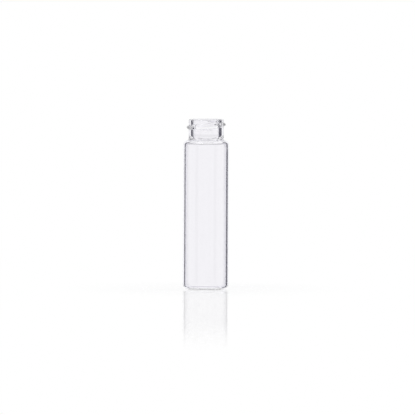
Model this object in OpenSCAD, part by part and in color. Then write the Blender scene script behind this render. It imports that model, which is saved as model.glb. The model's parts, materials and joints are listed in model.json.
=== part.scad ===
// Glass sample vial: a round flat-bottomed tube of clear glass, drawn in at the
// shoulder to a neck that carries about one turn of rounded screw thread.
//
// It is one piece of glass. Its wall is a single section turned about Z, and the
// thread bead is swept round the neck. The vial stands on Z = 0, centred on the axis.

/* [Body] */
// Outside diameter of the body
body_d = 16.9; // [15.8:0.1:26]
// Height from the foot to the top of the lip
total_h = 62.6; // [40:0.1:95]
// Thickness of the body wall
wall = 0.85; // [0.5:0.05:1]
// Outside radius of the shoulder, where the body turns in to the neck
shoulder_round = 1.7; // [1.2:0.1:2.2]
// Inside radius of the shoulder
shoulder_inner_round = 0.95; // [0.8:0.05:1.8]
// Thickness of the glass over the crown of the inside shoulder
shoulder_t = 0.8; // [0.5:0.05:0.9]

/* [Base] */
// Thickness of the glass across the middle of the base
base_t = 0.7; // [0.6:0.05:1.8]
// Outside radius of the heel, where the wall turns in to the base
heel_round = 1.8; // [0.8:0.1:2]
// Inside radius between the wall and the floor
floor_round = 0.95; // [0.6:0.05:2]
// Width of the flat ring that the vial stands on
foot_w = 1.1; // [0.6:0.1:2]
// Height of the hollow under the base, at its middle
push_up = 0.35; // [0.1:0.05:0.7]

/* [Neck] */
// Outside diameter of the neck, at the root of the thread
neck_d = 12.95; // [12:0.05:14]
// Diameter of the bore
bore_d = 9.8; // [8:0.1:10.4]
// Height of the neck, from the shoulder to the top of the lip
neck_h = 7.7; // [6.8:0.1:12]
// Radius of the hollow corner between the shoulder and the neck
neck_fillet = 0.45; // [0.2:0.05:0.8]
// Radius of the bell that opens the bore into the body
throat_round = 3.2; // [2.6:0.1:3.8]
// Outside radius of the fire-polished lip
lip_outer_round = 0.5; // [0.2:0.05:0.7]
// Inside radius of the fire-polished lip
lip_inner_round = 0.45; // [0.2:0.05:0.7]

/* [Thread] */
// Distance between two turns of the thread
thread_pitch = 2.12; // [1.5:0.01:3]
// How far the thread stands out from the neck
thread_depth = 0.74; // [0.4:0.01:0.9]
// Height of the thread bead where it leaves the neck
thread_w = 1.3; // [0.9:0.05:1.45]
// Angle that the thread runs through, with its two tapered ends
thread_sweep = 400; // [300:5:480]
// Angle over which each end of the thread rises out of the neck
thread_run_in = 32; // [15:1:60]
// Depth of the middle of the thread's upper end below the lip
thread_start = 1.42; // [1.2:0.01:2]
// Direction of the thread's upper end, from +X
thread_from = 100; // [0:5:355]

/* [Hidden] */
$fn = 128;

// The cutting shapes reach this far past what they cut.
over = 1;

body_r = body_d / 2;
cavity_r = body_r - wall;
neck_r = neck_d / 2;
bore_r = bore_d / 2;
shoulder_z = total_h - neck_h;
foot_r = body_r - heel_round;
hollow_r = foot_r - foot_w;
// Radius of the ball whose cap makes the hollow under the base
hollow_ball_r = (hollow_r * hollow_r + push_up * push_up) / (2 * push_up);

// Middle of the shoulder's outer arc
shoulder_x = body_r - shoulder_round;
shoulder_mid_z = shoulder_z - shoulder_round;
// Middle of the hollow arc that touches the neck and the shoulder. It stands beside
// the shoulder's arc by this much, or over the flat part of the shoulder.
fillet_x = neck_r + neck_fillet;
fillet_reach = max(fillet_x - shoulder_x, 0);
arcs_apart = shoulder_round + neck_fillet;
fillet_rise = sqrt(arcs_apart * arcs_apart - fillet_reach * fillet_reach);
fillet_z = shoulder_mid_z + fillet_rise;
// Where the two arcs touch
touch_x = fillet_x - fillet_reach * neck_fillet / arcs_apart;
touch_z = fillet_z - fillet_rise * neck_fillet / arcs_apart;

// Middle of the arc that turns the inside of the body in at the shoulder
corner_x = cavity_r - shoulder_inner_round;
corner_z = shoulder_z - shoulder_t - shoulder_inner_round;
// Middle of the arc that opens the bore. It touches the arc below it, or stands over a
// flat ceiling where the body is wide.
throat_x = bore_r + throat_round;
throat_reach = max(throat_x - corner_x, 0);
bends_apart = throat_round + shoulder_inner_round;
throat_rise = sqrt(bends_apart * bends_apart - throat_reach * throat_reach);
throat_z = corner_z + throat_rise;

// How far the root of the thread bead lies inside the neck's own glass
thread_sink = 0.35;
// How far the crest lies below the neck's surface at the two ends of the bead
thread_end_dip = 0.12;
thread_step = 5;
thread_sides = 10;

// A bar from the axis out to radius r, from z0 to z1, with its outer corners rounded.
module bar(r, z0, z1, low, high) {
    translate([0, z0 + low])
        square([r, z1 - z0 - low - high]);
    translate([0, z0])
        square([r - max(low, high), z1 - z0]);
    rounded_end(r, z0 + low, low, -1);
    rounded_end(r, z1 - high, high, 1);
}

// The rounded corner of a bar, below (side = -1) or above (side = 1) height z.
module rounded_end(r, z, round, side) {
    translate([0, side < 0 ? z - round : z])
        square([r - round, round]);
    translate([r - round, z])
        circle(round);
}

// The glass left in a square corner by an arc of radius r that touches its two sides.
// The corner is at the origin, and its sides run along dx and dz.
module corner(r, dx, dz) {
    difference() {
        translate([dx < 0 ? -r : 0, dz < 0 ? -r : 0])
            square(r);
        translate([dx * r, dz * r])
            circle(r);
    }
}

// The hollow corner where the neck rises out of the shoulder.
module neck_root() {
    difference() {
        polygon([
            [bore_r, shoulder_mid_z],
            [touch_x, shoulder_mid_z],
            [touch_x, touch_z],
            [fillet_x, fillet_z],
            [bore_r, fillet_z]
        ]);
        translate([fillet_x, fillet_z])
            circle(neck_fillet);
    }
}

// A ball whose top stands at height top on the axis.
module dome(r, top) {
    translate([0, top - r])
        circle(r);
}

// What the outside of the glass encloses.
module outside() {
    difference() {
        union() {
            bar(body_r, 0, shoulder_z, heel_round, shoulder_round);
            translate([0, shoulder_mid_z])
                square([neck_r, total_h - lip_outer_round - shoulder_mid_z]);
            rounded_end(neck_r, total_h - lip_outer_round, lip_outer_round, 1);
            neck_root();
        }
        dome(hollow_ball_r, push_up);
    }
}

// The bell between the bore and the inside of the body.
module throat() {
    across = throat_reach / bends_apart;
    up = throat_rise / bends_apart;
    difference() {
        polygon([
            [0, corner_z],
            [corner_x, corner_z],
            [corner_x + across * shoulder_inner_round, corner_z + up * shoulder_inner_round],
            [throat_x - across * throat_round, throat_z - up * throat_round],
            [throat_x, throat_z],
            [0, throat_z]
        ]);
        translate([throat_x, throat_z])
            circle(throat_round);
    }
}

// The space inside the glass.
module cavity() {
    difference() {
        union() {
            translate([0, base_t + floor_round])
                square([cavity_r, corner_z - base_t - floor_round]);
            rounded_end(cavity_r, base_t + floor_round, floor_round, -1);
        }
        dome(hollow_ball_r + base_t, push_up + base_t);
    }
    translate([corner_x, corner_z])
        circle(shoulder_inner_round);
    throat();
    translate([0, throat_z - over])
        square([bore_r, total_h + 2 * over - throat_z]);
    translate([bore_r, total_h])
        corner(lip_inner_round, 1, -1);
}

// The glass wall, turned about Z.
module glass_wall() {
    rotate_extrude()
        difference() {
            outside();
            cavity();
        }
}

// A smooth rise from 0 to 1 as t goes from 0 to 1.
function ease(t) = let (u = min(max(t, 0), 1)) u * u * (3 - 2 * u);

// How far the crest stands out from the neck at an angle from the bead's upper end.
function crest_rise(angle) =
    let (share = ease(angle / thread_run_in) * ease((thread_sweep - angle) / thread_run_in))
    share * (thread_depth + thread_end_dip) - thread_end_dip;

// One cross-section of the bead: half an oval that stands out from its root.
function bead_section(angle) = [
    for (i = [0 : thread_sides])
        let (
            turn = 180 * i / thread_sides - 90,
            r = neck_r - thread_sink + (thread_sink + crest_rise(angle)) * cos(turn),
            z = total_h - thread_start - thread_pitch * angle / 360 + thread_w / 2 * sin(turn),
            a = thread_from - angle
        )
        [r * cos(a), r * sin(a), z]
];

// The thread: the section swept down round the neck, right-handed.
module thread_bead() {
    rings = ceil(thread_sweep / thread_step);
    per_ring = thread_sides + 1;
    points = [
        for (k = [0 : rings])
            each bead_section(thread_sweep * k / rings)
    ];
    skin = [
        for (k = [0 : rings - 1], i = [0 : thread_sides])
            let (
                j = (i + 1) % per_ring,
                a = k * per_ring + i,
                b = k * per_ring + j,
                c = a + per_ring,
                d = b + per_ring
            )
            each [[a, d, b], [a, c, d]]
    ];
    first_end = [for (i = [0 : thread_sides]) i];
    last_end = [for (i = [0 : thread_sides]) rings * per_ring + thread_sides - i];
    polyhedron(points = points, faces = concat(skin, [first_end, last_end]));
}

module vial() {
    color([0.93, 0.94, 0.97, 0.4]) {
        glass_wall();
        thread_bead();
    }
}

vial();
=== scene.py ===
"""Glass sample vial: the finished glass, its stage, its lights and its camera.

The vial is one piece of glass. Its section is turned round the vertical axis, and the
outside of its neck is a fine helical net of faces that follows the screw thread, so that
the bead runs smoothly out of the glass and back into it. Lengths are in metres.
"""

import json
import math

import bpy
import numpy as np
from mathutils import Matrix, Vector


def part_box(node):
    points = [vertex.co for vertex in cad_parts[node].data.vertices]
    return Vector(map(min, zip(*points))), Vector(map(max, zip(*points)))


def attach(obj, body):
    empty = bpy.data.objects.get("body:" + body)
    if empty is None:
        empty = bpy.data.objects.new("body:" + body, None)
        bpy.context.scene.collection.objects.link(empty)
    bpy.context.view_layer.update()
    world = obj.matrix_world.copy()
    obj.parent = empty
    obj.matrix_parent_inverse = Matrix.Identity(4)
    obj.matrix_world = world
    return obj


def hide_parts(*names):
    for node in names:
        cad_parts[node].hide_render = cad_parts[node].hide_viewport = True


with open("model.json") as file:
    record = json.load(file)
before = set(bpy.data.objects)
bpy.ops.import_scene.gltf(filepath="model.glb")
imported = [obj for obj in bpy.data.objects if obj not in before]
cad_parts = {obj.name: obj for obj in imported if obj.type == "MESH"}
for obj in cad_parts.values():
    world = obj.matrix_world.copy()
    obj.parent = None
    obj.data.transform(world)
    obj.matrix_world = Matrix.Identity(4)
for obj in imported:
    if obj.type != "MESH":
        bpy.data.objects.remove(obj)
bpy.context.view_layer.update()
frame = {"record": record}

bl_info = {
    "name": "Glass Sample Vial",
    "version": (1, 0, 0),
    "blender": (4, 5, 0),
    "location": "3D View > Sidebar > Vial",
    "description": "Builds a screw-neck glass vial and a bright-field studio for it",
    "category": "Add Mesh",
}

VIAL_LOW, VIAL_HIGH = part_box("vial")
MOUNTS = {mount["name"]: mount for mount in frame["record"]["mounts"]}
MM = 0.001

WHITE = (1.0, 1.0, 1.0, 1.0)

# How often light may turn inside the glass, so that none is lost in the thick parts.
GLASS_BOUNCES = 24

# How finely the glass is meshed: columns round it, rows to one pitch of the thread, and steps
# along each curve and flat of the section.
COLUMNS = 256
THREAD_ROWS = 32
STEPS = {
    "dome": 7, "foot": 4, "heel": 14, "wall": 56, "shoulder": 16, "neck root": 8,
    "lip": 10, "lip top": 3, "bore": 18, "throat": 20, "inner shoulder": 14,
    "floor corner": 12, "floor": 1,
}

# Points of a section that are closer than this are one point.
SAME_POINT = 1e-7


# ---------------------------------------------------------------- settings


def length(name, description, default, **limits):
    """A length that a user can change."""
    return bpy.props.FloatProperty(
        name=name, description=description, default=default,
        subtype="DISTANCE", unit="LENGTH", precision=5, **limits,
    )


def angle(name, description, degrees):
    """An angle that a user can change, given in degrees and kept in radians."""
    return bpy.props.FloatProperty(
        name=name, description=description, default=math.radians(degrees),
        subtype="ANGLE", unit="ROTATION",
    )


def share(name, description, default, high=1.0):
    """A plain number, up to high, that a user can change."""
    return bpy.props.FloatProperty(
        name=name, description=description, default=default, min=-1.0, max=high,
    )


def colour(name, description, default):
    """A colour that a user can change."""
    return bpy.props.FloatVectorProperty(
        name=name, description=description, default=default,
        subtype="COLOR", size=3, min=0.0, max=1.0,
    )


class VialSizes(bpy.types.PropertyGroup):
    """The sizes of the glass."""

    body_radius: length("Body radius", "Outside radius of the body", VIAL_HIGH.x)
    height: length("Height", "From the foot to the top of the lip", VIAL_HIGH.z)
    wall: length("Wall", "Thickness of the body wall", 0.85 * MM)
    shoulder_round: length("Shoulder", "Outside radius of the shoulder", 1.7 * MM)
    shoulder_inner_round: length("Shoulder inside", "Inside radius of the shoulder", 0.95 * MM)
    shoulder_thickness: length(
        "Shoulder glass", "Glass over the crown of the inside shoulder", 0.8 * MM
    )
    heel_round: length("Heel", "Outside radius of the heel", 1.8 * MM)
    floor_round: length("Floor corner", "Inside radius between wall and floor", 0.95 * MM)
    base_thickness: length("Base glass", "Thickness across the base", 0.7 * MM)
    foot_width: length("Foot", "Width of the flat ring that the vial stands on", 1.1 * MM)
    push_up: length("Push-up", "Height of the hollow under the base", 0.35 * MM)
    neck_radius: length("Neck radius", "Outside radius at the root of the thread", 6.475 * MM)
    neck_height: length("Neck height", "From the shoulder to the top of the lip", 7.7 * MM)
    neck_fillet: length("Neck root", "Radius between the shoulder and the neck", 0.45 * MM)
    bore_radius: length(
        "Bore radius", "Radius of the bore", MOUNTS["mouth"]["dims"]["r_mm"] * MM
    )
    throat_round: length("Throat", "Radius of the bell that opens the bore into the body", 3.2 * MM)
    lip_outer_round: length("Lip outside", "Outside radius of the lip", 0.5 * MM)
    lip_inner_round: length("Lip inside", "Inside radius of the lip", 0.45 * MM)
    thread_pitch: length("Thread pitch", "Distance between two turns", 2.12 * MM)
    thread_depth: length("Thread depth", "How far the bead stands out", 0.74 * MM)
    thread_reach: length("Thread reach", "Half the bead's height where it dies out", 0.84 * MM)
    thread_start: length("Thread start", "Depth of the bead's upper end below the lip", 1.42 * MM)
    thread_from: angle("Thread from", "Direction of the upper end, from +X", 100)
    thread_sweep: angle("Thread sweep", "Angle that the bead runs through", 400)
    thread_run_in: angle("Thread run-in", "Angle over which each end rises", 32)
    ripple: length("Ripple", "Unevenness that drawing leaves in the glass", 0.004 * MM)


class VialLooks(bpy.types.PropertyGroup):
    """The finish of the glass, and the shade painted where it is seen aslant."""

    tint: colour("Tint", "Colour that clear glass gives to light", (0.948, 0.943, 0.962))
    # Painted shade: a darker, more violet tint where the glass is seen aslant, which draws its
    # edges as dark lines.
    painted_edge_shade: colour("Edge tint", "Colour where the glass is seen aslant", (0.845, 0.835, 0.95))
    # Where the painted edge shade starts, from 0 face on to 1 edge on.
    edge_shade_from: share("Edge from", "How far aslant the edge tint starts", 0.35)
    ior: bpy.props.FloatProperty(
        name="Index", description="How strongly the glass bends light", default=1.5, min=1.0,
        max=2.0,
    )
    draw_lines: share("Draw lines", "Strength of the fine lines along the wall", 0.02)


class VialStage(bpy.types.PropertyGroup):
    """The floor, the bright field that the glass shows, the light and the camera."""

    floor_colour: colour("Floor", "Colour of the floor", (0.92, 0.92, 0.92))
    floor_white: share("Floor white", "How far the floor is whitened close to the vial", 0.8)
    floor_gloss: share("Floor gloss", "How much of a mirror the floor is at the foot", 0.45)
    floor_blur: share("Floor blur", "Roughness of the floor's mirror", 0.02)
    gloss_near: length("Gloss near", "Distance at which the floor's gloss starts to fade", 0.17)
    gloss_far: length("Gloss far", "Distance at which the floor's gloss has faded", 0.355)
    dark_from_left: angle("Dark from, left", "Where the left dark zone starts", 29.5)
    dark_to_left: angle("Dark to, left", "Where the left dark zone ends", 57)
    dark_from_right: angle("Dark from, right", "Where the right dark zone starts", 26)
    dark_to_right: angle("Dark to, right", "Where the right dark zone ends", 66)
    dark_low: share("Dark low", "Sine of the lowest angle of the dark zones", -0.6)
    dark_high: share("Dark high", "Sine of the highest angle of the dark zones", 0.6)
    dark_colour: colour("Dark colour", "Colour of the dark zones", (0.012, 0.010, 0.040))
    body_from_left: angle("Body from, left", "Where the body's left dark zone starts", 28.6)
    body_to_left: angle("Body to, left", "Where the body's left dark zone ends", 48)
    body_from_right: angle("Body from, right", "Where the body's right dark zone starts", 22.6)
    body_to_right: angle("Body to, right", "Where the body's right dark zone ends", 50)
    body_low: share("Body low", "Sine of the lowest angle of the body's dark zones", -0.09)
    body_high: share(
        "Body high", "Sine of the highest angle of the body's dark zones", -0.0365
    )
    body_aside: share("Body aside", "Brightness beyond the body's dark zones", 0.7)
    key: share("Key", "Strength of the lamp from the front left", 0.8, 4.0)
    fill: share("Fill", "Strength of the lamp from the back right", 0.5, 4.0)
    light: share("Light", "Strength of the soft light from all round", 0.62, 4.0)
    camera_distance: length("Camera distance", "From the camera to the vial", 2.5)
    camera_elevation: angle("Camera elevation", "Angle of the camera above level", 2.6)
    camera_roll: angle("Camera roll", "How far the camera is tipped", 0.26)
    view_width: length("View width", "Width of the view at the vial", 0.1530)
    aim_right: length("Aim right", "How far right of the axis the camera aims", 0.0006)
    aim_low: length("Aim low", "How far below mid-height the camera aims", 0.0013)


# ---------------------------------------------------------------- the section of the glass


def arc(x, z, radius, start, end, steps):
    """Points of a section along an arc, from start to end in degrees, both ends included."""
    turns = np.radians(np.linspace(start, end, steps + 1))
    return [(x + radius * math.cos(t), z + radius * math.sin(t)) for t in turns]


def straight(start, end, steps):
    """Points of a section along a straight line, both ends included."""
    return [tuple(np.array(start) + (np.array(end) - start) * k / steps) for k in range(steps + 1)]


def joined(*runs):
    """One list of section points from runs that start where the last one ended."""
    points = []
    for run in runs:
        for point in run:
            if not points or math.dist(point, points[-1]) > SAME_POINT:
                points.append(point)
    return points


def dome(ball, top, start, end):
    """Points along a ball of radius ball with its top at height top, between two radii."""
    radii = np.linspace(start, end, STEPS["dome"] + 1)
    return [(r, top - ball + math.sqrt(ball * ball - r * r)) for r in radii]


def foot_and_hollow(s):
    """The outside radius of the foot's flat ring, and the radius of the hollow inside it."""
    foot = s.body_radius - s.heel_round
    return foot, foot - s.foot_width


def hollow_ball(s):
    """The radius of the ball that the hollow under the base is part of."""
    hollow = foot_and_hollow(s)[1]
    return (hollow * hollow + s.push_up * s.push_up) / (2 * s.push_up)


def under_and_wall(s):
    """The section from the middle of the underside, up the wall, to the root of the neck."""
    foot, hollow = foot_and_hollow(s)
    shoulder_x = s.body_radius - s.shoulder_round
    shoulder_z = s.height - s.neck_height - s.shoulder_round
    root_x = s.neck_radius + s.neck_fillet
    beside = max(root_x - shoulder_x, 0)
    apart = s.shoulder_round + s.neck_fillet
    root_z = shoulder_z + math.sqrt(apart * apart - beside * beside)
    touch = math.degrees(math.atan2(root_z - shoulder_z, beside))
    return joined(
        dome(hollow_ball(s), s.push_up, 0, hollow),
        straight((hollow, 0), (foot, 0), STEPS["foot"]),
        arc(foot, s.heel_round, s.heel_round, -90, 0, STEPS["heel"]),
        straight((s.body_radius, s.heel_round), (s.body_radius, shoulder_z), STEPS["wall"]),
        arc(root_x - beside, shoulder_z, s.shoulder_round, 0, touch, STEPS["shoulder"]),
        arc(root_x, root_z, s.neck_fillet, touch - 180, -180, STEPS["neck root"]),
    )


def lip_and_inside(s):
    """The section from the top of the neck, over the lip and down the inside, to the floor."""
    cavity = s.body_radius - s.wall
    ball = hollow_ball(s) + s.base_thickness
    dome_r = math.sqrt(2 * ball * s.push_up - s.push_up * s.push_up)
    lip_x = s.neck_radius - s.lip_outer_round
    lip_in = s.bore_radius + s.lip_inner_round
    both = s.throat_round + s.shoulder_inner_round
    bend = math.acos(max(1 - (cavity - s.bore_radius) / both, 0))
    corner_x = cavity - s.shoulder_inner_round
    corner_z = s.height - s.neck_height - s.shoulder_thickness - s.shoulder_inner_round
    throat_x = s.bore_radius + s.throat_round
    throat_z = corner_z + both * math.sin(bend)
    bend = math.degrees(bend)
    floor_x = cavity - s.floor_round
    floor_z = s.base_thickness + s.floor_round
    bore_top = (s.bore_radius, s.height - s.lip_inner_round)
    return joined(
        arc(lip_x, s.height - s.lip_outer_round, s.lip_outer_round, 0, 90, STEPS["lip"]),
        straight((lip_x, s.height), (lip_in, s.height), STEPS["lip top"]),
        arc(lip_in, s.height - s.lip_inner_round, s.lip_inner_round, 90, 180, STEPS["lip"]),
        straight(bore_top, (s.bore_radius, throat_z), STEPS["bore"]),
        arc(throat_x, throat_z, s.throat_round, 180, 180 + bend, STEPS["throat"]),
        arc(corner_x, corner_z, s.shoulder_inner_round, bend, 0, STEPS["inner shoulder"]),
        straight((cavity, corner_z), (cavity, floor_z), STEPS["wall"]),
        arc(floor_x, floor_z, s.floor_round, 0, -90, STEPS["floor corner"]),
        straight((floor_x, s.base_thickness), (dome_r, s.base_thickness), STEPS["floor"]),
        dome(ball, s.base_thickness + s.push_up, dome_r, 0),
    )


# ---------------------------------------------------------------- the screw thread


# How full the bead's outline is: 1 is a plain cosine bell, and less has steeper sides.
BEAD_FULLNESS = 0.65

# How many samples the bead's outline is measured with.
OUTLINE_SAMPLES = 2001

# A row that comes nearer than this to the end of the neck, in rows, is joined to the end ring.
SNAP = 0.35


def ease(t):
    """A smooth rise from 0 to 1 as t goes from 0 to 1."""
    t = min(max(t, 0.0), 1.0)
    return t * t * (3 - 2 * t)


def bead_height(s, along, across):
    """How far the bead stands out, at an angle along it and a distance across it."""
    if not 0 < along < s.thread_sweep or abs(across) >= s.thread_reach:
        return 0.0
    rise = ease(along / s.thread_run_in) * ease((s.thread_sweep - along) / s.thread_run_in)
    bell = 0.5 + 0.5 * math.cos(math.pi * across / s.thread_reach)
    return s.thread_depth * rise * bell ** BEAD_FULLNESS


def rows_across(s):
    """Where the rows of one pitch lie, from the bead's middle, evenly along its full outline."""
    fine = np.linspace(-s.thread_pitch / 2, s.thread_pitch / 2, OUTLINE_SAMPLES)
    out = np.array([bead_height(s, s.thread_sweep / 2, d) for d in fine])
    run = np.concatenate([[0], np.cumsum(np.hypot(np.diff(fine), np.diff(out)))])
    return np.interp(np.arange(THREAD_ROWS) / THREAD_ROWS * run[-1], run, fine)


# ---------------------------------------------------------------- the mesh of the glass


def azimuths(s):
    """The direction of each column of the mesh, clockwise from the thread's upper end."""
    return s.thread_from - np.arange(COLUMNS) * 2 * math.pi / COLUMNS


# The waves in the drawn wall. Each has a weight, a count round the body, how much it takes of
# the phase, and how far it turns with height, in radians to the metre.
WAVES = ((0.45, 2, 1.0, 45), (0.30, 3, -1.7, -80), (0.25, 5, 2.3, 130))

# The phase of the waves outside and inside.
OUTSIDE_PHASE = 1.3
INSIDE_PHASE = 4.1

# The length of wall over which the waves die out towards the heel and the shoulder.
WAVES_FADE = 5 * MM


def drawn_ripple(azimuth, z, phase):
    """The gentle unevenness of drawn glass, from 0 to 1."""
    return 0.5 + 0.5 * sum(
        weight * math.sin(count * azimuth + shift * phase + turn * z)
        for weight, count, shift, turn in WAVES
    )


def wall_ripple(s, z):
    """How uneven the wall is at height z: not at all at the heel, the shoulder and the neck."""
    low, high = 2 * s.heel_round, s.height - s.neck_height - 2 * s.shoulder_round
    return s.ripple * ease((z - low) / WAVES_FADE) * ease((high - z) / WAVES_FADE)


class GlassMesh:
    """Collects the points and faces of one closed skin of glass."""

    def __init__(self, sizes):
        self.sizes = sizes
        self.directions = azimuths(sizes)
        self.points = []
        self.faces = []

    def point(self, r, z, column):
        """Adds a point at radius r and height z in a column, and returns its number."""
        turn = self.directions[column]
        self.points.append((r * math.cos(turn), r * math.sin(turn), z))
        return len(self.points) - 1

    def ring(self, r, z, ripple=0.0, phase=0.0):
        """Adds one level ring, drawn in by up to ripple, or a single point on the axis."""
        if r < SAME_POINT:
            self.points.append((0.0, 0.0, z))
            return [len(self.points) - 1] * COLUMNS
        return [
            self.point(r - ripple * drawn_ripple(self.directions[c], z, phase), z, c)
            for c in range(COLUMNS)
        ]

    def face(self, *corners):
        """Adds a face, leaving out corners that are the same point."""
        kept = [c for k, c in enumerate(corners) if c != corners[k - 1]]
        if len(set(kept)) == len(kept) and len(kept) > 2:
            self.faces.append(kept)

    def skin(self, rings):
        """Joins each ring to the next."""
        for low, high in zip(rings, rings[1:]):
            for c in range(COLUMNS):
                d = (c + 1) % COLUMNS
                self.face(low[c], high[c], high[d], low[d])

    def helix(self, low, high, low_z, high_z):
        """Joins two level rings of the neck by rows that run along the thread."""
        s = self.sizes
        across = rows_across(s)
        spacing = np.append(np.diff(across), s.thread_pitch / 2 - across[-1])
        start = s.height - s.thread_start
        turns = int((start - low_z) / s.thread_pitch) + 2
        rows = {}

        def at(row, column):
            """The point where a row, counted down from the first turn, meets a column."""
            if column == COLUMNS:
                row, column = row + THREAD_ROWS, 0
            if (row, column) not in rows:
                turn, k = divmod(row, THREAD_ROWS)
                along = 2 * math.pi * (column / COLUMNS + turn)
                z = start - s.thread_pitch * along / (2 * math.pi) - across[k]
                near = SNAP * spacing[k]
                if z > high_z - near:
                    rows[row, column] = high[column]
                elif z < low_z + near:
                    rows[row, column] = low[column]
                else:
                    r = s.neck_radius + bead_height(s, along, across[k])
                    rows[row, column] = self.point(r, z, column)
            return rows[row, column]

        for row in range(-2 * THREAD_ROWS, turns * THREAD_ROWS):
            for c in range(COLUMNS):
                self.face(at(row + 1, c), at(row, c), at(row, c + 1), at(row + 1, c + 1))


def glass_mesh(s):
    """The whole skin of the vial, as a mesh with outward faces."""
    glass = GlassMesh(s)
    outer, inner = under_and_wall(s), lip_and_inside(s)
    outside = [glass.ring(r, z, wall_ripple(s, z), OUTSIDE_PHASE) for r, z in outer]
    inside = [glass.ring(r, z, wall_ripple(s, z), INSIDE_PHASE) for r, z in inner]
    glass.skin(outside)
    glass.helix(outside[-1], inside[0], outer[-1][1], inner[0][1])
    glass.skin(inside)
    mesh = bpy.data.meshes.new("vial_glass")
    mesh.from_pydata(glass.points, [], glass.faces)
    mesh.validate()
    mesh.shade_smooth()
    mesh.update()
    return mesh


# ---------------------------------------------------------------- nodes


class Nodes:
    """A short way to write a node tree."""

    def __init__(self, tree):
        self.tree = tree
        tree.nodes.clear()

    def add(self, kind, **settings):
        """Adds a node. Settings are its properties."""
        node = self.tree.nodes.new(kind)
        for name, value in settings.items():
            setattr(node, name, value)
        return node

    def link(self, source, target):
        """Joins an output to an input, or sets an input to a plain value."""
        if isinstance(source, bpy.types.NodeSocket):
            self.tree.links.new(source, target)
        else:
            target.default_value = source

    def maths(self, operation, a, b):
        """A sum on two numbers."""
        node = self.add("ShaderNodeMath", operation=operation)
        self.link(a, node.inputs[0])
        self.link(b, node.inputs[1])
        return node.outputs[0]

    def ramped(self, value, low, high, start=0.0, end=1.0):
        """A smooth change from start to end as value goes from low to high."""
        node = self.add("ShaderNodeMapRange", interpolation_type="SMOOTHSTEP")
        for source, name in (
            (value, "Value"), (low, "From Min"), (high, "From Max"),
            (start, "To Min"), (end, "To Max"),
        ):
            self.link(source, node.inputs[name])
        return node.outputs["Result"]

    def mixed(self, factor, a, b):
        """A blend of two colours."""
        node = self.add("ShaderNodeMix", data_type="RGBA")
        self.link(factor, node.inputs["Factor"])
        self.link(a, node.inputs[6])
        self.link(b, node.inputs[7])
        return node.outputs[2]

    def blended(self, factor, a, b):
        """A blend of two shaders."""
        node = self.add("ShaderNodeMixShader")
        self.link(factor, node.inputs[0])
        self.tree.links.new(a, node.inputs[1])
        self.tree.links.new(b, node.inputs[2])
        return node.outputs[0]

    def seen_by(self, *kinds):
        """1 for any of these kinds of ray, such as "Is Camera Ray", and 0 for others."""
        path = self.add("ShaderNodeLightPath")
        total = path.outputs[kinds[0]]
        for kind in kinds[1:]:
            total = self.maths("MAXIMUM", total, path.outputs[kind])
        return total


def solid(rgb):
    """A colour with full alpha."""
    return (*rgb, 1.0)


def new_material(name):
    """A material and its empty node tree."""
    material = bpy.data.materials.new(name)
    material.use_nodes = True
    return material, Nodes(material.node_tree)


# How far aslant the glass is when its painted edge shade is full, from 0 face on to 1 edge on.
EDGE_SHADE_FULL = 0.98

# The fine lines along the wall: how close together, how fine within, how far drawn out along
# the wall, and how deep.
LINES_SCALE = 900.0
LINES_DETAIL = 2.0
LINES_STRETCH = (1.0, 1.0, 0.02)
LINES_DEPTH = 0.02 * MM

# How much light the glass lets through into its shadow.
SHADE_COLOUR = (0.86, 0.86, 0.88)


def clear_glass(looks):
    """Clear drawn glass: fine lines along the wall, and painted shade where it is seen aslant."""
    material, n = new_material("clear_glass")
    surface = n.add("ShaderNodeBsdfPrincipled")
    surface.inputs["Metallic"].default_value = 0.0
    surface.inputs["Roughness"].default_value = 0.0
    surface.inputs["IOR"].default_value = looks.ior
    surface.inputs["Transmission Weight"].default_value = 1.0

    aslant = n.add("ShaderNodeLayerWeight")
    aslant.inputs["Blend"].default_value = 0.5
    # Painted shade: the glass colour turns to the darker edge colour as the glass is seen more
    # aslant.
    edge_shade_amount = n.ramped(aslant.outputs["Facing"], looks.edge_shade_from, EDGE_SHADE_FULL)
    n.link(n.mixed(edge_shade_amount, solid(looks.tint), solid(looks.painted_edge_shade)), surface.inputs["Base Color"])

    place = n.add("ShaderNodeTexCoord")
    stretch = n.add("ShaderNodeMapping")
    stretch.inputs["Scale"].default_value = LINES_STRETCH
    n.link(place.outputs["Object"], stretch.inputs["Vector"])
    lines = n.add("ShaderNodeTexNoise")
    lines.inputs["Scale"].default_value = LINES_SCALE
    lines.inputs["Detail"].default_value = LINES_DETAIL
    n.link(stretch.outputs["Vector"], lines.inputs["Vector"])
    bump = n.add("ShaderNodeBump")
    bump.inputs["Strength"].default_value = looks.draw_lines
    bump.inputs["Distance"].default_value = LINES_DEPTH
    n.link(lines.outputs["Fac"], bump.inputs["Height"])
    n.link(bump.outputs["Normal"], surface.inputs["Normal"])

    shade = n.add("ShaderNodeBsdfTransparent")
    shade.inputs["Color"].default_value = solid(SHADE_COLOUR)
    path = n.add("ShaderNodeLightPath")
    out = n.add("ShaderNodeOutputMaterial")
    n.link(
        n.blended(path.outputs["Is Shadow Ray"], surface.outputs[0], shade.outputs[0]),
        out.inputs["Surface"],
    )
    return material


# ---------------------------------------------------------------- the stage


def mesh_object(name, mesh):
    """An object for a mesh, in the scene."""
    made = bpy.data.objects.new(name, mesh)
    bpy.context.scene.collection.objects.link(made)
    return made


# The floor is whitened least within the first distance of the vial, and fully past the second.
WHITENED_FROM = 0.012
WHITENED_TO = 0.06

# How strongly the floor mirrors at each angle, as an index.
FLOOR_IOR = 1.45

# The floor's radius, how many sides its outline has, and how far it lies under the foot, so
# that the two don't share a plane.
FLOOR_REACH = 2.0
FLOOR_SIDES = 96
FLOOR_DROP = 0.02 * MM


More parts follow.
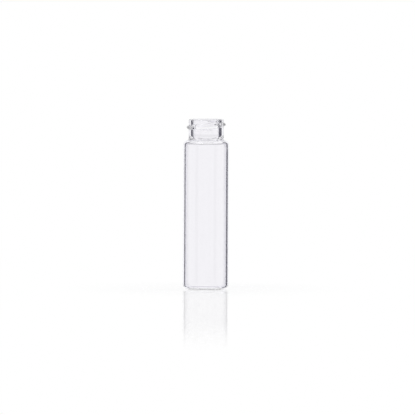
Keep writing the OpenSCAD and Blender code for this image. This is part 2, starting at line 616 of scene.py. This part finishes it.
def floor_material(stage):
    """A white floor that keeps shadows and mirrors what stands on it, less with distance."""
    material, n = new_material("white_floor")
    matt = n.add("ShaderNodeBsdfDiffuse")
    matt.inputs["Color"].default_value = solid(stage.floor_colour)
    white = n.add("ShaderNodeEmission")
    white.inputs["Color"].default_value = WHITE
    place = n.add("ShaderNodeTexCoord")
    distance = n.add("ShaderNodeVectorMath", operation="LENGTH")
    n.link(place.outputs["Object"], distance.inputs[0])
    whitened = n.ramped(
        distance.outputs["Value"], WHITENED_FROM, WHITENED_TO, stage.floor_white, 1.0
    )
    lit = n.blended(
        n.maths("MULTIPLY", n.seen_by("Is Camera Ray", "Is Glossy Ray"), whitened),
        matt.outputs[0], white.outputs[0],
    )
    mirror = n.add("ShaderNodeBsdfGlossy")
    mirror.inputs["Roughness"].default_value = stage.floor_blur
    mirror.inputs["Color"].default_value = WHITE
    fade = n.ramped(
        distance.outputs["Value"], stage.gloss_near, stage.gloss_far, stage.floor_gloss, 0.0
    )
    glance = n.add("ShaderNodeFresnel")
    glance.inputs["IOR"].default_value = FLOOR_IOR
    gloss = n.maths("MULTIPLY", fade, glance.outputs[0])
    out = n.add("ShaderNodeOutputMaterial")
    n.link(n.blended(gloss, lit, mirror.outputs[0]), out.inputs["Surface"])
    return material


def build_floor(stage):
    """A wide round floor under the vial, which rays that have crossed the glass don't see."""
    mesh = bpy.data.meshes.new("floor")
    turns = np.linspace(0, 2 * math.pi, FLOOR_SIDES, endpoint=False)
    level = VIAL_LOW.z - FLOOR_DROP
    mesh.from_pydata(
        [(FLOOR_REACH * math.cos(t), FLOOR_REACH * math.sin(t), level) for t in turns],
        [], [list(range(FLOOR_SIDES))],
    )
    floor = mesh_object("floor", mesh)
    mesh.materials.append(floor_material(stage))
    floor.visible_transmission = False
    return floor


# ---------------------------------------------------------------- the bright field and the lamps


# The rays that see the bright background in place of the soft light.
BACKGROUND_RAYS = ("Is Camera Ray", "Is Glossy Ray", "Is Transmission Ray")

# How soft the patches of the field are: at their sides, at their tops and bottoms, and where
# the patches for the body meet those for the neck.
SIDE_SOFT = math.radians(1.2)
TOP_SOFT = 0.02
SPLIT_SOFT = 0.001

# Heights that the left dark zone leaves out. A view from 25 degrees above looks straight
# through the vial at them.
LEFT_GAP = (-0.48, -0.36)

# Further patches, for the views from the sides, from above and from behind. Each has azimuths
# from and to, in degrees to the right of straight ahead, heights from and to, and a brightness.
OTHER_PATCHES = (
    (-180, 180, 0.01, 0.12, 0.90),
    (-9, 14, 0.20, 0.245, 0.10),
    (-136, -119, -0.15, 0.12, 0.65),
    (119, 136, -0.15, 0.12, 0.65),
    (-105, -72, -0.46, -0.38, 0.0),
    (-18, 15, -0.46, -0.38, 0.0),
    (75, 108, -0.29, -0.23, 0.0),
    (162, 181, -0.29, -0.23, 0.0),
    (-181, -165, -0.29, -0.23, 0.0),
)

# The colour of the even soft light.
LIGHT_COLOUR = (0.97, 0.98, 1.0)

# Where each lamp shines from, and how wide it looks from the vial.
KEY_PLACE = (-0.5, -0.45, 0.75)
FILL_PLACE = (0.6, 0.3, 0.8)
LAMP_SPREAD = math.radians(30)


def field_patches(stage):
    """The dark patches of the field that the glass shows.

    Each is azimuths from and to, heights from and to, how soft its top and bottom are, and a
    brightness. The azimuths run to the right from straight ahead, and the heights are sines of
    the angle above level. A tube keeps the height of a ray, so each view has heights of its
    own. Those between body_low and body_high belong to the body of the vial in a level view,
    and those above to its neck.
    """
    left = (-stage.dark_to_left, -stage.dark_from_left)
    right = (stage.dark_from_right, stage.dark_to_right)
    body_left = (-stage.body_to_left, -stage.body_from_left)
    body_right = (stage.body_from_right, stage.body_to_right)
    neck = (stage.body_high, stage.dark_high, SPLIT_SOFT)
    body = (stage.body_low, stage.body_high, SPLIT_SOFT)
    patches = [
        (*left, *neck, 0.0),
        (*right, *neck, 0.0),
        (*body_left, *body, 0.0),
        (*body_right, *body, 0.0),
        (left[0], body_left[0], *body, stage.body_aside),
        (body_right[1], right[1], *body, stage.body_aside),
        (*left, LEFT_GAP[1], stage.body_low, TOP_SOFT, 0.0),
        (*left, stage.dark_low, LEFT_GAP[0], TOP_SOFT, 0.0),
        (*right, stage.dark_low, stage.body_low, TOP_SOFT, 0.0),
    ]
    for start, end, low, high, level in OTHER_PATCHES:
        patches.append((math.radians(start), math.radians(end), low, high, TOP_SOFT, level))
    return patches


def band(n, value, low, high, soft):
    """1 where value lies from low to high, with soft ends, and 0 elsewhere."""
    rise = n.ramped(value, low - soft, low + soft)
    fall = n.ramped(value, high - soft, high + soft, 1.0, 0.0)
    return n.maths("MULTIPLY", rise, fall)


def field_brightness(n, stage):
    """How bright the field is in each direction, from 0 to 1."""
    place = n.add("ShaderNodeTexCoord")
    split = n.add("ShaderNodeSeparateXYZ")
    n.link(place.outputs["Generated"], split.inputs[0])
    azimuth = n.maths("ARCTAN2", split.outputs["X"], split.outputs["Y"])
    height = split.outputs["Z"]
    field = 1.0
    for start, end, low, high, soft, level in field_patches(stage):
        patch = n.maths(
            "MULTIPLY",
            band(n, azimuth, start, end, SIDE_SOFT),
            band(n, height, low, high, soft),
        )
        field = n.maths("MULTIPLY", field, n.ramped(patch, 0.0, 1.0, 1.0, level))
    return field


def build_world(stage):
    """Even soft light, a white background, and the field that shows through the glass.

    Rays that have crossed the glass see white with dark patches to the sides, as in a
    bright-field studio. That is what draws the edges of clear glass as fine dark lines.
    """
    world = bpy.data.worlds.new("studio")
    world.use_nodes = True
    n = Nodes(world.node_tree)
    through = n.seen_by("Is Transmission Ray")
    darkness = n.maths("SUBTRACT", 1.0, field_brightness(n, stage))
    shown = n.maths("SUBTRACT", 1.0, n.maths("MULTIPLY", through, darkness))
    background = n.add("ShaderNodeBackground")
    n.link(n.mixed(shown, solid(stage.dark_colour), WHITE), background.inputs["Color"])
    light = n.add("ShaderNodeBackground")
    light.inputs["Color"].default_value = solid(LIGHT_COLOUR)
    light.inputs["Strength"].default_value = stage.light
    out = n.add("ShaderNodeOutputWorld")
    n.link(
        n.blended(n.seen_by(*BACKGROUND_RAYS), light.outputs[0], background.outputs[0]),
        out.inputs["Surface"],
    )
    bpy.context.scene.world = world
    return world


def build_lamp(name, place, power):
    """A soft sun that shines from the direction of place, seen by no ray that crosses glass."""
    data = bpy.data.lights.new(name, "SUN")
    data.energy = power
    data.angle = LAMP_SPREAD
    lamp = bpy.data.objects.new(name, data)
    bpy.context.scene.collection.objects.link(lamp)
    lamp.location = place
    lamp.rotation_euler = Vector(place).to_track_quat("Z", "Y").to_euler()
    lamp.visible_transmission = False
    return lamp


# The width of the camera's sensor in millimetres, and the nearest and farthest that it sees.
SENSOR_WIDTH = 36.0
CLIP_START = 0.05
CLIP_END = 50.0


def build_camera(stage):
    """A long lens, a little above level, that looks along +Y."""
    data = bpy.data.cameras.new("camera")
    data.sensor_width = SENSOR_WIDTH
    data.lens = SENSOR_WIDTH * stage.camera_distance / stage.view_width
    data.clip_start = CLIP_START
    data.clip_end = CLIP_END
    camera = bpy.data.objects.new("camera", data)
    bpy.context.scene.collection.objects.link(camera)
    middle = (VIAL_LOW + VIAL_HIGH) / 2
    aim = middle + Vector((stage.aim_right, 0.0, -stage.aim_low))
    up = stage.camera_elevation
    back = Vector((0.0, -math.cos(up), math.sin(up)))
    camera.location = aim + back * stage.camera_distance
    camera.rotation_euler = (-back).to_track_quat("-Z", "Y").to_euler()
    camera.rotation_euler.rotate_axis("Z", stage.camera_roll)
    bpy.context.scene.camera = camera
    return camera


# ---------------------------------------------------------------- operators and panel


class VIAL_OT_glass(bpy.types.Operator):
    """Build the vial's glass"""

    bl_idname = "vial.glass"
    bl_label = "Build Glass"

    def execute(self, context):
        vial = mesh_object("vial_glass", glass_mesh(context.scene.vial_sizes))
        vial.data.materials.append(clear_glass(context.scene.vial_looks))
        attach(vial, "root")
        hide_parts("vial")
        return {"FINISHED"}


class VIAL_OT_stage(bpy.types.Operator):
    """Build the floor, the bright field, the lights and the camera"""

    bl_idname = "vial.stage"
    bl_label = "Build Stage"

    def execute(self, context):
        stage = context.scene.vial_stage
        context.scene.view_settings.view_transform = "Standard"
        context.scene.cycles.max_bounces = GLASS_BOUNCES
        context.scene.cycles.glossy_bounces = GLASS_BOUNCES
        context.scene.cycles.transmission_bounces = GLASS_BOUNCES
        build_world(stage)
        build_floor(stage)
        build_lamp("lamp_key", KEY_PLACE, stage.key)
        build_lamp("lamp_fill", FILL_PLACE, stage.fill)
        build_camera(stage)
        return {"FINISHED"}


# The groups of settings in the order of the panel, and the button under each.
BUTTONS = {"vial_sizes": None, "vial_looks": "vial.glass", "vial_stage": "vial.stage"}


class VIAL_PT_panel(bpy.types.Panel):
    """The vial's settings and its build buttons"""

    bl_label = "Glass Vial"
    bl_idname = "VIAL_PT_panel"
    bl_space_type = "VIEW_3D"
    bl_region_type = "UI"
    bl_category = "Vial"

    def draw(self, context):
        for group, button in BUTTONS.items():
            settings = getattr(context.scene, group)
            column = self.layout.column(align=True)
            for name in settings.bl_rna.properties.keys():
                if name not in ("rna_type", "name"):
                    column.prop(settings, name)
            if button:
                self.layout.operator(button)


CLASSES = (VialSizes, VialLooks, VialStage, VIAL_OT_glass, VIAL_OT_stage, VIAL_PT_panel)
GROUPS = {"vial_sizes": VialSizes, "vial_looks": VialLooks, "vial_stage": VialStage}


def register():
    """Registers the classes and hangs the settings on the scene."""
    for cls in CLASSES:
        bpy.utils.register_class(cls)
    for name, group in GROUPS.items():
        setattr(bpy.types.Scene, name, bpy.props.PointerProperty(type=group))


def unregister():
    """Takes the settings off the scene and unregisters the classes."""
    for name in GROUPS:
        delattr(bpy.types.Scene, name)
    for cls in reversed(CLASSES):
        bpy.utils.unregister_class(cls)


def main():
    """Builds the vial and its stage."""
    register()
    bpy.ops.vial.glass()
    bpy.ops.vial.stage()


if __name__ == "__main__":
    main()
